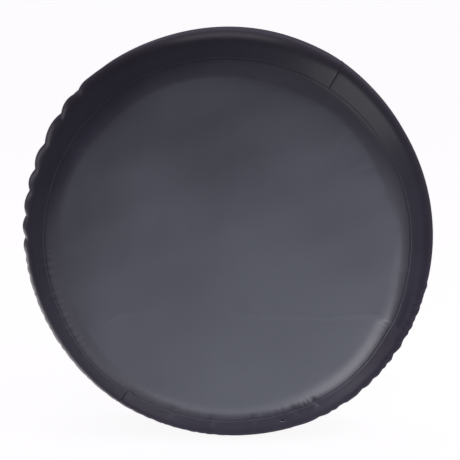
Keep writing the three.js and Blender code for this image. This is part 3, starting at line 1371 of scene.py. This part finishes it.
@dataclass
class BandCloth(SewnPart):
    """One half of the side band, from its folded front edge to its hem round the elastic."""

    columns: int = 360
    end_turn: float = 0.0007  # how far an end's fold reaches towards the join
    end_gap: float = 0.15  # degrees between the last column and the plane of the join
    second_column: float = 0.0034  # the column next to an end lies within this of it
    second_move: float = 0.40  # and moves this many degrees closer, to keep the fold crisp
    join_start: float = 0.0118
    fold_moves: tuple[tuple[float, float], ...] = (
        (-0.25, 0.20),
        (-0.10, 0.50),
        (0.10, 0.50),
        (0.25, 0.20),
        (3.0, 0.02),
        (8.0, 0.02),
    )
    drain_angle: float = 287.0
    drain_at: float = 0.014
    drain_radius: float = 0.0022
    cut_length: float = 1.13
    cut_width: float = 0.345
    on_plane: float = 1e-4  # points this close to an end's plane belong to the end
    hem_clearance: float = 0.006  # the turned-in end stops this far before the hem's edge

    def turn_in(self, bm: bmesh.types.BMesh, angle: float, side: int) -> None:
        """Folds the cloth under at one end, between the front allowance and the hem.

        Args:
            bm: The mesh.
            angle: The angle of the end.
            side: 1 where the cloth runs from this end to larger angles, or else -1.
        """
        out, onward = spoke(math.radians(angle))
        across = onward * side
        half = [v for v in bm.verts if v.co.dot(out) > 0]
        ends = {v for v in half if abs(v.co.dot(across)) < self.on_plane}
        second = [v for v in half if self.on_plane < v.co.dot(across) < self.second_column]
        closer = Matrix.Rotation(-side * math.radians(self.second_move), 3, AXIS)
        bmesh.ops.rotate(bm, verts=second, cent=CENTRE, matrix=closer)
        guide, _ = self.measured_at(ends)
        hem = self.section.hem_edge_radius + self.hem_clearance
        single = {
            v for v, along in zip(ends, guide) if along > self.join_start and v.co.dot(out) > hem
        }
        edges = [e for e in bm.edges if e.verts[0] in single and e.verts[1] in single]
        for v in ends - single:
            v.co -= self.end_turn * across
        for along, depth in self.fold_moves:
            grown = bmesh.ops.extrude_edge_only(bm, edges=edges)["geom"]
            verts = [g for g in grown if isinstance(g, bmesh.types.BMVert)]
            edges = [g for g in grown if isinstance(g, bmesh.types.BMEdge)]
            edges = [e for e in edges if e.verts[0] in verts and e.verts[1] in verts]
            _, normals = self.measured_at(verts)
            for v, (outward, back) in zip(verts, normals.tolist()):
                inward = -(outward * out + back * Vector((0, 1, 0)))
                v.co += self.section.cloth * (along * across + depth * inward)

    def measured_at(self, verts: Sequence[bmesh.types.BMVert]) -> tuple[np.ndarray, np.ndarray]:
        """The guide distances and outward directions of some points."""
        places = np.array([v.co for v in verts])
        return self.section.measured(np.hypot(places[:, 0], places[:, 2]), places[:, 1])

    def punch_drain(self, bm: bmesh.types.BMesh) -> None:
        """Opens the drain hole behind the seam.

        Args:
            bm: The mesh.
        """
        turn = math.radians(self.drain_angle)
        at = self.section.near_seam(self.drain_at, self.section.cloth / 2)
        centre = Vector((at.x * math.cos(turn), at.y, at.x * math.sin(turn)))
        middle = min(bm.verts, key=lambda v: (v.co - centre).length)
        rim = {v for f in middle.link_faces for v in f.verts} - {middle}
        bmesh.ops.delete(bm, geom=[middle], context="VERTS")
        for v in rim:
            v.co = centre + self.drain_radius * (v.co - centre).normalized()

    def make(self, name: str, node: str, start: float) -> bpy.types.Object:
        """Makes, settles and dresses one half.

        Args:
            name: The piece's name.
            node: The CAD node that it stands for.
            start: The angle of its first end, in degrees.

        Returns:
            The piece.
        """
        bm = bmesh.new()
        first, span = start + self.end_gap, 180 - 2 * self.end_gap
        spin(bm, chain(bm, self.section.band(), first), span, self.columns)
        if (self.drain_angle - start) % 360 < 180:
            self.punch_drain(bm)
        self.turn_in(bm, first, 1)
        self.turn_in(bm, first + span, -1)
        face_out(bm, Facing.ROUND)
        piece = self.settled(bm, name, self.section.outer_radius)
        dress(piece, self.finishes.cloth, Slot.VINYL, node)
        thicken(piece, self.section.cloth, True)
        return piece


@dataclass
class Stitching(SewnPart):
    """Rows of separate stitches."""

    length: float = 0.0034
    pitch: float = 0.0042
    thickness: float = 0.0007
    slant: float = math.radians(7)
    join_row_start: float = 0.002  # how far behind the crease a row beside a join starts
    half_step: float = 0.001  # a stitch's direction is read over twice this length

    def stitch(self, bm: bmesh.types.BMesh, place: Matrix) -> list[bmesh.types.BMVert]:
        """Adds one stitch, whose length runs along Z before it is placed.

        Args:
            bm: The mesh.
            place: Where it goes.

        Returns:
            Its points.
        """
        half = (self.thickness / 2, self.thickness / 2, self.length / 2)
        grown = bmesh.ops.create_uvsphere(
            bm,
            u_segments=6,
            v_segments=5,
            radius=1.0,
            matrix=place @ Matrix.Diagonal((*half, 1.0)),
            calc_uvs=True,
        )
        return grown["verts"]

    def finish(self, bm: bmesh.types.BMesh, name: str, on_label: bool, *nodes: str) -> None:
        """Settles and dresses a row.

        Args:
            bm: The mesh of all its stitches.
            name: The piece's name.
            on_label: Whether it is sewn with the label's thread.
            nodes: The CAD nodes that it stands for.
        """
        piece = as_object(bm, name)
        self.surface.settle(piece.data)
        thread = self.finishes.label_thread if on_label else self.finishes.thread
        dress(piece, [thread], Slot.THREAD, *nodes)

    def ring(self, name: str, at: Vector, node: str) -> None:
        """A row all round the cover.

        Args:
            name: The piece's name.
            at: Its place in the section.
            node: The CAD node that it stands for.
        """
        count = round(math.tau * at.x / self.pitch)
        bm = bmesh.new()
        bm.loops.layers.uv.new("thread")
        place = Matrix.Translation((at.x, at.y, 0)) @ Matrix.Rotation(self.slant, 4, "X")
        self.stitch(bm, place)
        bmesh.ops.spin(
            bm,
            geom=[*bm.verts, *bm.edges, *bm.faces],
            cent=CENTRE,
            axis=AXIS,
            angle=math.tau * (count - 1) / count,
            steps=count - 1,
            use_duplicate=True,
        )
        self.finish(bm, name, False, node)

    def join(self, name: str, end: End, aside: float, node: str) -> None:
        """A row beside one of the band's joins, from the seam to the hem.

        Args:
            name: The piece's name.
            end: Which join.
            aside: How far the row lies from the join.
            node: The CAD node that it stands for.
        """
        out, onward = spoke(math.radians(self.surface.angle_of(end)))
        height = self.section.gap + self.thickness / 2
        front = self.section.near_seam(self.join_row_start, 0)
        line = np.array(offset([front, *self.section.outside()[2:]], -height))
        along = np.concatenate([[0], np.cumsum(np.linalg.norm(np.diff(line, axis=0), axis=1))])
        bm = bmesh.new()
        bm.loops.layers.uv.new("thread")
        for middle in np.arange(self.pitch, along[-1] - self.pitch, self.pitch):
            ends = [
                Vector([np.interp(middle + step, along, line[:, k]) for k in (0, 1)])
                for step in (-self.half_step, self.half_step)
            ]
            run = (ends[1] - ends[0]).normalized()
            at = (ends[0] + ends[1]) / 2
            way = run.x * out + run.y * Vector((0, 1, 0))
            spot = at.x * out + at.y * Vector((0, 1, 0)) - aside * onward
            turned_to = way.to_track_quat("Z", "Y").to_matrix().to_4x4()
            self.stitch(bm, Matrix.Translation(spot) @ turned_to)
        self.finish(bm, name, False, node)


@dataclass
class SeamTape(SewnPart):
    """The woven tape that covers the front seam's allowances on the inside."""

    start: float = 0.0032
    end: float = 0.0116
    segments: int = 480
    bank: float = 0.0016  # the length over which it comes down from the allowances

    def make(self) -> bpy.types.Object:
        """Makes, settles and dresses the tape."""
        s = self.section
        on_band = s.cloth + s.gap + s.tape / 2
        edge = s.near_seam(s.panel_allowance + s.gap, s.tape_depth)
        bank = s.near_seam(s.panel_allowance + self.bank, on_band)
        line = joined(
            straight(s.near_seam(self.start, s.tape_depth), edge, 4),
            straight(edge, bank, 3),
            straight(bank, s.near_seam(self.end, on_band), 3),
        )
        bm = bmesh.new()
        spin(bm, chain(bm, line, 0), 360, self.segments)
        bmesh.ops.remove_doubles(bm, verts=bm.verts, dist=MERGED)
        face_out(bm, Facing.ROUND)
        piece = self.settled(bm, "seam_seal_tape", s.seam_radius)
        dress(piece, [self.finishes.tape], Slot.WEBBING, "front_seam_tape")
        thicken(piece, s.tape, False)
        return piece


@dataclass
class JoinTape(SewnPart):
    """The woven tape over one of the band's joins, on the inside."""

    half_width: float = 0.010
    end: float = 0.014
    columns: int = 8
    layers: float = 1.9  # the cloth that it lies under, in thicknesses
    skipped: int = 6  # the points of the band's outside before its front end
    rear_bend: float = 0.01  # the end of the rear bend that it skips, along the axis

    def line(self) -> Line:
        """The tape's middle in the section."""
        s = self.section
        depth = self.layers * s.cloth + s.gap + s.tape / 2
        last = s.hem_edge_radius + self.end
        outside = s.outside()[self.skipped :]
        path = [p for p in outside if p.x > last or p.y < s.rear_y - self.rear_bend]
        return offset([*path, Vector((last, s.rear_y))], depth)

    def make(self, name: str, end: End, node: str) -> bpy.types.Object:
        """Makes, settles and dresses the tape.

        Args:
            name: The piece's name.
            end: Which join.
            node: The CAD node that it stands for.

        Returns:
            The piece.
        """
        angle = self.surface.angle_of(end)
        _, side = spoke(math.radians(angle))
        bm = bmesh.new()
        edges = chain(bm, self.line(), angle)
        bmesh.ops.translate(bm, verts=bm.verts, vec=-self.half_width * side)
        step = 2 * self.half_width / self.columns
        for _ in range(self.columns):
            grown = bmesh.ops.extrude_edge_only(bm, edges=edges)["geom"]
            edges = [g for g in grown if isinstance(g, bmesh.types.BMEdge)]
            verts = [g for g in grown if isinstance(g, bmesh.types.BMVert)]
            bmesh.ops.translate(bm, verts=verts, vec=step * side)
            edges = [e for e in edges if all(v in verts for v in e.verts)]
        face_out(bm, Facing.ROUND)
        piece = self.settled(bm, name, self.section.outer_radius)
        dress(piece, [self.finishes.tape], Slot.WEBBING, node)
        thicken(piece, self.section.tape, False)
        size = (2 * self.half_width, self.length())
        return piece

    def length(self) -> float:
        """The tape's length."""
        line = self.line()
        return sum((b - a).length for a, b in zip(line, line[1:]))


@dataclass
class HemElastic(SewnPart):
    """The braided elastic inside the hem, its ends lapped and tacked at the lowest point."""

    width: float = 0.0084
    thickness: float = 0.0012
    radius: float = 0.2545
    lap: float = 7.0
    ribs: int = 6
    steps: int = 520
    tack_pitch: float = 0.0006
    tack_share: float = 0.55  # of the lap's length
    tack_width: float = 0.72  # of the elastic's width
    tack_lean: float = 0.09  # the zigzag's lean to either side, in radians
    valley: float = 0.82  # of a rib's height

    @property
    def y(self) -> float:
        """Where the elastic lies along the axis."""
        return self.section.hem_centre.y

    def make(self) -> bpy.types.Object:
        """Makes, settles and dresses the elastic."""
        half, rib = self.width / 2, self.width / self.ribs / 4
        shares = [1.0 if k % 4 else self.valley for k in range(4 * self.ribs + 1)]
        upper = [
            Vector((self.radius - half + k * rib, self.thickness / 2 * share))
            for k, share in enumerate(shares)
        ]
        drift = self.thickness + self.section.gap
        start = Vector((0, self.y - drift / 2))
        outline = [p + start for p in upper] + [
            Vector((p.x, self.y - drift / 2 - p.y)) for p in reversed(upper)
        ]
        bm = bmesh.new()
        first = LOWEST - self.lap / 2
        edges = chain(bm, outline, first)
        edges.append(bm.edges.new((edges[-1].verts[1], edges[0].verts[0])))
        spin(bm, [*bm.verts, *edges], 360 + self.lap, self.steps, drift)
        bmesh.ops.holes_fill(bm, edges=[e for e in bm.edges if e.is_boundary], sides=0)
        bmesh.ops.recalc_face_normals(bm, faces=bm.faces)
        piece = self.settled(bm, "elastic_braid", self.radius)
        dress(piece, [self.finishes.elastic], Slot.WEBBING, "hem_elastic")
        return piece

    def tack(self, stitching: Stitching) -> None:
        """Sews the bar tack across the lapped ends.

        Args:
            stitching: What makes the stitches.
        """
        lap = math.radians(self.lap) * self.tack_share
        count = round(self.radius * lap / self.tack_pitch)
        above = (self.thickness + self.section.gap) / 2 + self.thickness / 2
        y = self.y + above + self.section.gap + stitching.thickness / 3
        length = self.tack_width * self.width
        short = Stitching(self.section, self.surface, self.finishes, length, 0.001, 0.0005, 0.0)
        bm = bmesh.new()
        bm.loops.layers.uv.new("thread")
        for k in range(count + 1):
            turn = math.radians(LOWEST) - lap / 2 + lap * k / count
            spot = Vector((self.radius * math.cos(turn), y, self.radius * math.sin(turn)))
            lean = turn + (self.tack_lean if k % 2 else -self.tack_lean)
            way, _ = spoke(lean)
            turned_to = way.to_track_quat("Z", "Y").to_matrix().to_4x4()
            short.stitch(bm, Matrix.Translation(spot) @ turned_to)
        short.finish(bm, "tack_stitches", False, "elastic_join_tack")


@dataclass
class CareLabel(SewnPart):
    """The blank care label inside the tread, sewn down all round."""

    width: float = 0.030
    height: float = 0.046
    corner: float = 0.002
    y: float = 0.006
    angle: float = 266.25
    inset: float = 0.00125
    sag: float = 0.0004  # the tread's curve under the label's width
    lift: float = 0.0003
    ripple: float = 0.00015
    ripples_across: float = 320.0  # radians in a metre
    ripples_along: float = 140.0

    def place(self, height: float) -> Matrix:
        """The label's place: its width goes round the cover and its height along the axis.

        Args:
            height: How far it stands off the tread's inside.

        Returns:
            The placing matrix.
        """
        flat = self.section.outer_radius - self.section.cloth - self.sag
        out, side = spoke(math.radians(self.angle))
        up = Vector((0, 1, 0))
        frame_of = Matrix((side, up, -out)).transposed().to_4x4()
        spot = (flat - height) * out + self.y * up
        return Matrix.Translation(spot) @ frame_of

    def make(self) -> bpy.types.Object:
        """Makes, settles and dresses the label."""
        bm = bmesh.new()
        grid = bmesh.ops.create_grid(bm, x_segments=10, y_segments=14, size=0.5)
        size = Matrix.Diagonal((self.width, self.height, 1, 1))
        bmesh.ops.transform(bm, matrix=size, verts=grid["verts"])
        corners = [v for v in bm.verts if len(v.link_faces) == 1]
        bmesh.ops.bevel(
            bm,
            geom=corners,
            offset=self.corner,
            segments=3,
            profile=0.5,
            affect="VERTICES",
            material=-1,
        )
        for v in bm.verts:
            across, along = v.co.x * self.ripples_across, v.co.y * self.ripples_along
            v.co.z = self.ripple * math.sin(across) * math.cos(along)
        place = self.place(self.section.gap + self.section.tape / 2 + self.lift)
        bmesh.ops.transform(bm, matrix=place, verts=bm.verts)
        piece = self.settled(bm, "blank_label", self.section.outer_radius)
        dress(piece, [self.finishes.label], Slot.LABEL, "care_label")
        thicken(piece, self.section.tape, False)
        return piece

    def sew(self, stitching: Stitching) -> None:
        """Sews the label down round its edge.

        Args:
            stitching: What makes the stitches.
        """
        fine = Stitching(self.section, self.surface, self.finishes, 0.0022, 0.0028, 0.0005, 0.0)
        height = self.section.gap + self.section.tape + self.lift + fine.thickness * 0.4
        place = self.place(height)
        bm = bmesh.new()
        bm.loops.layers.uv.new("thread")
        x, y = self.width / 2 - self.inset, self.height / 2 - self.inset
        sides = (
            (x, y, 2 * x, -1, 0),
            (-x, y, 2 * y, 0, -1),
            (-x, -y, 2 * x, 1, 0),
            (x, -y, 2 * y, 0, 1),
        )
        for start_x, start_y, length, way_x, way_y in sides:
            count = round(length / fine.pitch)
            way = Vector((way_x, way_y, 0))
            lay = way.to_track_quat("Z", "Y").to_matrix().to_4x4()
            for k in range(count):
                spot = Vector((start_x, start_y, 0)) + way * length * (k + 0.5) / count
                fine.stitch(bm, place @ Matrix.Translation(spot) @ lay)
        fine.finish(bm, "label_stitches", True, "care_label_thread")


# ---- Studio ----


@dataclass(frozen=True)
class Lamp:
    """A soft square lamp that faces the cover.

    Attributes:
        name: Its name.
        azimuth: Its direction from the cover, in degrees to the right of straight ahead.
        elevation: Its direction above the horizon, in degrees.
        distance: How far away it stands.
        size: The side of its face.
        power: Its power, in watts.
        tone: Its colour.
    """

    name: str
    azimuth: float
    elevation: float
    distance: float
    size: float
    power: float
    tone: tuple[float, float, float]

    def light(self) -> None:
        """Makes the lamp."""
        data = bpy.data.lights.new(self.name, "AREA")
        data.shape, data.size, data.energy, data.color = "SQUARE", self.size, self.power, self.tone
        lamp = bpy.data.objects.new(self.name, data)
        out = direction(math.radians(self.azimuth), math.radians(self.elevation))
        lamp.location = self.distance * out
        lamp.rotation_euler = (-out).to_track_quat("-Z", "Y").to_euler()
        lamp.visible_camera = False
        bpy.context.scene.collection.objects.link(lamp)


def direction(azimuth: float, elevation: float) -> Vector:
    """A direction from the cover.

    Args:
        azimuth: To the right of straight ahead, in radians.
        elevation: Above the horizon, in radians.

    Returns:
        The unit vector.
    """
    flat = math.cos(elevation)
    return Vector((math.sin(azimuth) * flat, -math.cos(azimuth) * flat, math.sin(elevation)))


@dataclass
class Studio:
    """The pale floor, the soft lamps and the camera."""

    azimuth: float = math.radians(2.0)
    elevation: float = math.radians(10.6)
    distance: float = 2.8
    lens: float = 126.7
    aim: tuple[float, float, float] = (0.0022, 0.0, 0.0028)
    floor_size: float = 90.0
    floor_glow: float = 0.93
    room: tuple[float, float, float] = (0.158, 0.137, 0.185)
    lamps: tuple[Lamp, ...] = (
        Lamp("low_right", 37, -38, 1.7, 0.9, 7.0, (1.0, 0.92, 0.97)),
        Lamp("low_front", 13, -30, 2.8, 2.5, 49.5, (0.81, 0.88, 1.0)),
        Lamp("under", -34, -54, 3.0, 2.4, 10.0, (0.97, 0.93, 1.0)),
        Lamp("top", 12, 34, 3.0, 2.2, 4.0, (0.97, 0.95, 1.0)),
        Lamp("low_left", -42, -30, 2.6, 2.2, 13.0, (0.90, 0.91, 1.0)),
        Lamp("right", 47, -8, 2.8, 1.8, 6.8, (0.93, 0.91, 1.0)),
        Lamp("left", -115, 12, 2.4, 0.8, 1.3, (1.0, 0.97, 1.0)),
        Lamp("upper_right", 66, 40, 2.5, 1.5, 7.0, (0.97, 1.0, 0.96)),
        Lamp("behind", 222, -28, 2.8, 1.8, 10.0, (1.0, 0.98, 0.95)),
        Lamp("above_behind", 184, 66, 3.0, 1.6, 4.0, (1.0, 1.0, 1.0)),
    )

    def camera(self) -> None:
        """Makes the camera."""
        data = bpy.data.cameras.new("camera")
        data.lens, data.sensor_width = self.lens, 36.0
        data.clip_start, data.clip_end = 0.05, 400.0
        camera = bpy.data.objects.new("camera", data)
        back = direction(self.azimuth, self.elevation)
        camera.location = Vector(self.aim) + self.distance * back
        camera.rotation_euler = (-back).to_track_quat("-Z", "Y").to_euler()
        bpy.context.scene.collection.objects.link(camera)
        bpy.context.scene.camera = camera

    def floor(self) -> None:
        """Makes the floor that the cover stands on. It glows, and casts neither light nor shadow."""
        bm = bmesh.new()
        bmesh.ops.create_grid(bm, x_segments=1, y_segments=1, size=self.floor_size)
        piece = as_object(bm, "floor")
        piece.location.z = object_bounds()[0].z - 0.0005
        piece.visible_glossy = piece.visible_diffuse = piece.visible_shadow = False
        g = Graph("pale_floor")
        piece.data.materials.append(
            g.finished(
                Base_Color=(0.35, 0.35, 0.35, 1.0),
                Roughness=0.95,
                Specular_IOR_Level=0.1,
                Emission_Color=(0.990, 0.980, 0.985, 1.0),
                Emission_Strength=self.floor_glow,
            )
        )
        piece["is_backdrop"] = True

    def build(self) -> None:
        """Makes the whole studio."""
        scene = bpy.context.scene
        scene.view_settings.view_transform = "Standard"
        world = bpy.data.worlds.new("soft_room")
        world.use_nodes = True
        world.node_tree.nodes["Background"].inputs["Color"].default_value = (*self.room, 1.0)
        scene.world = world
        self.floor()
        for lamp in self.lamps:
            lamp.light()


def main() -> None:
    """Builds the cover's pieces in order, then the studio."""
    logging.basicConfig(level=logging.INFO, format="%(name)s: %(message)s")
    section = Section()
    surface = GatheredSurface(section)
    twill = WovenTape("seam_twill", (0.008, 0.008, 0.009), (0.040, 0.040, 0.044), 1400.0, 38.0)
    rib = WovenTape("elastic_rib", (0.010, 0.010, 0.011), (0.070, 0.070, 0.075), 900.0, 0.0)
    black = TwistedThread("black_thread", (0.010, 0.010, 0.012), (0.060, 0.058, 0.066))
    grey = TwistedThread("dark_label_thread", (0.02, 0.02, 0.022), (0.09, 0.09, 0.1))
    finishes = Finishes(
        outside=CoatedCloth().make(),
        inside=KnitBacking().make(),
        edge=CutEdge().make(),
        tape=twill.make(),
        elastic=rib.make(),
        thread=black.make(),
        label_thread=grey.make(),
        label=SatinLabel().make(),
    )
    studio = Studio()
    studio.camera()
    PanelCloth(section, surface, finishes).make()
    band = BandCloth(section, surface, finishes)
    band.make("band_cloth_right", "band_right", surface.join_angle - 180)
    band.make("band_cloth_left", "band_left", surface.join_angle)
    SeamTape(section, surface, finishes).make()
    tape = JoinTape(section, surface, finishes)
    tape.make("join_tape_upper", End.UPPER, "upper_join_tape")
    tape.make("join_tape_lower", End.LOWER, "lower_join_tape")
    stitching = Stitching(section, surface, finishes)
    half = stitching.thickness / 2 + section.gap
    under_panel = section.panel_depth + section.cloth / 2 + half
    under_tape = section.tape_depth + section.tape / 2 + half
    seam_row = section.near_seam(section.seam_row, under_panel)
    tape_row = section.near_seam(section.tape_row, under_tape)
    stitching.ring("seam_stitches", seam_row, "front_seam_thread")
    stitching.ring("tape_stitches", tape_row, "front_seam_tape_thread")
    hem = Vector((section.hem_stitch_radius, section.rear_y + half))
    bobbin_y = section.rear_y - 2 * section.cloth - section.gap - half
    bobbin = Vector((section.hem_stitch_radius, bobbin_y))
    stitching.ring("hem_stitches", hem, "hem_thread")
    stitching.ring("hem_bobbin_stitches", bobbin, "hem_bobbin_thread")
    stitching.join("join_stitches_upper", End.UPPER, section.join_row, "upper_join_thread")
    stitching.join("join_stitches_lower", End.LOWER, section.join_row, "lower_join_thread")
    elastic = HemElastic(section, surface, finishes)
    elastic.make()
    elastic.tack(stitching)
    label = CareLabel(section, surface, finishes)
    label.make()
    label.sew(stitching)
    studio.build()


if __name__ == "__main__":
    main()
